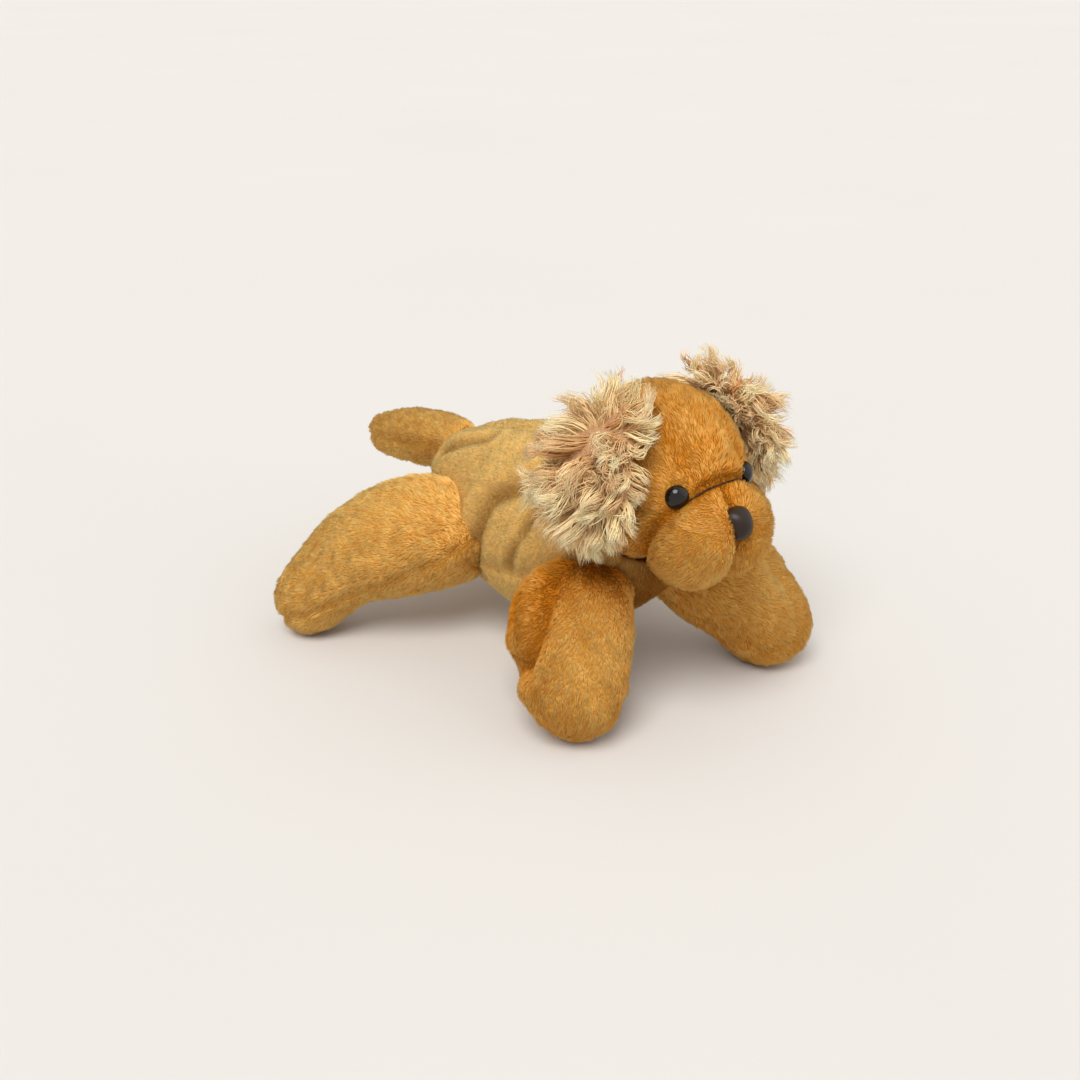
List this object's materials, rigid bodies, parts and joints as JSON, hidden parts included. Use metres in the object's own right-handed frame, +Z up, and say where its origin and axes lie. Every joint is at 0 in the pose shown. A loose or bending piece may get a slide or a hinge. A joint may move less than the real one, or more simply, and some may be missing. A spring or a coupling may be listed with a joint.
{
  "type": "puppy plush toy",
  "caption": "Soft stuffed puppy lying on spread paws, with shaggy drop ears, padded muzzle, plastic eyes and nose, a head that turns and nods, and legs, ears and tail that swing at their seams.",
  "frame": {"origin": "on the floor, under the middle of the toy's bounding box", "axes": "+Z up, +Y from the nose towards the tail, +X towards the toy's left side; the paws stand on z = 0"},
  "size_m": [0.1982, 0.2494, 0.134],
  "materials": {
    "golden_plush": "short golden-brown pile, brushed",
    "pale_plush": "short pale golden pile, brushed",
    "shaggy_pile": "long shaggy pile with cream tips",
    "ear_lining": "short brown pile",
    "fibre_filling": "loose white polyester fibre",
    "eye_plastic": "polished black dome",
    "nose_plastic": "satin dark brown",
    "washer_plastic": "plain off-white"
  },
  "bodies": {
    "torso": {"torso_right_panel": "pale_plush", "torso_left_panel": "pale_plush", "torso_belly_panel": "pale_plush", "torso_filling": "fibre_filling"},
    "neck": {"neck_pad": "fibre_filling"},
    "head": {"head_crown_panel": "golden_plush", "head_right_panel": "golden_plush", "head_left_panel": "golden_plush", "muzzle_right_panel": "golden_plush", "muzzle_left_panel": "golden_plush", "head_filling": "fibre_filling", "eye_right": "eye_plastic", "eye_washer_right": "washer_plastic", "eye_left": "eye_plastic", "eye_washer_left": "washer_plastic", "nose": "nose_plastic", "nose_washer": "washer_plastic"},
    "foreleg_right": {"foreleg_right_inner_panel": "golden_plush", "foreleg_right_outer_panel": "golden_plush", "foreleg_right_filling": "fibre_filling"},
    "foreleg_left": {"foreleg_left_inner_panel": "golden_plush", "foreleg_left_outer_panel": "golden_plush", "foreleg_left_filling": "fibre_filling"},
    "hindleg_right": {"hindleg_right_upper_panel": "golden_plush", "hindleg_right_lower_panel": "golden_plush", "hindleg_right_filling": "fibre_filling"},
    "hindleg_left": {"hindleg_left_upper_panel": "golden_plush", "hindleg_left_lower_panel": "golden_plush", "hindleg_left_filling": "fibre_filling"},
    "tail": {"tail_top_panel": "golden_plush", "tail_under_panel": "golden_plush", "tail_filling": "fibre_filling"},
    "ear_right": {"ear_right_pile": "shaggy_pile", "ear_right_lining": "ear_lining"},
    "ear_left": {"ear_left_pile": "shaggy_pile", "ear_left_lining": "ear_lining"}
  },
  "joints": [
    {"name": "head_turn", "type": "hinge", "parent": "torso", "child": "neck", "pos_m": [0, -0.07708, 0.097], "axis": [0, -0.6157, 0.788], "range_deg": [-20, 20]},
    {"name": "head_nod", "type": "hinge", "parent": "neck", "child": "head", "pos_m": [0, -0.07708, 0.097], "axis": [1, 0, 0], "range_deg": [-12, 12]},
    {"name": "ear_right_lift", "type": "hinge", "parent": "head", "child": "ear_right", "pos_m": [-0.02457, -0.08008, 0.12891], "axis": [0, 1, 0], "range_deg": [0, 70]},
    {"name": "ear_left_lift", "type": "hinge", "parent": "head", "child": "ear_left", "pos_m": [0.02457, -0.08008, 0.12891], "axis": [0, -1, 0], "range_deg": [0, 70]},
    {"name": "foreleg_right_swing", "type": "hinge", "parent": "torso", "child": "foreleg_right", "pos_m": [-0.02226, -0.06408, 0.04796], "axis": [0, 0, 1], "range_deg": [-20, 20]},
    {"name": "foreleg_left_swing", "type": "hinge", "parent": "torso", "child": "foreleg_left", "pos_m": [0.02226, -0.06408, 0.04796], "axis": [0, 0, 1], "range_deg": [-20, 20]},
    {"name": "hindleg_right_swing", "type": "hinge", "parent": "torso", "child": "hindleg_right", "pos_m": [-0.03138, 0.01692, 0.04636], "axis": [0, 0, 1], "range_deg": [-20, 20]},
    {"name": "hindleg_left_swing", "type": "hinge", "parent": "torso", "child": "hindleg_left", "pos_m": [0.03138, 0.01692, 0.04636], "axis": [0, 0, 1], "range_deg": [-20, 20]},
    {"name": "tail_wag", "type": "hinge", "parent": "torso", "child": "tail", "pos_m": [0, 0.04892, 0.07235], "axis": [0, 0, 1], "range_deg": [-30, 30]}
  ]
}
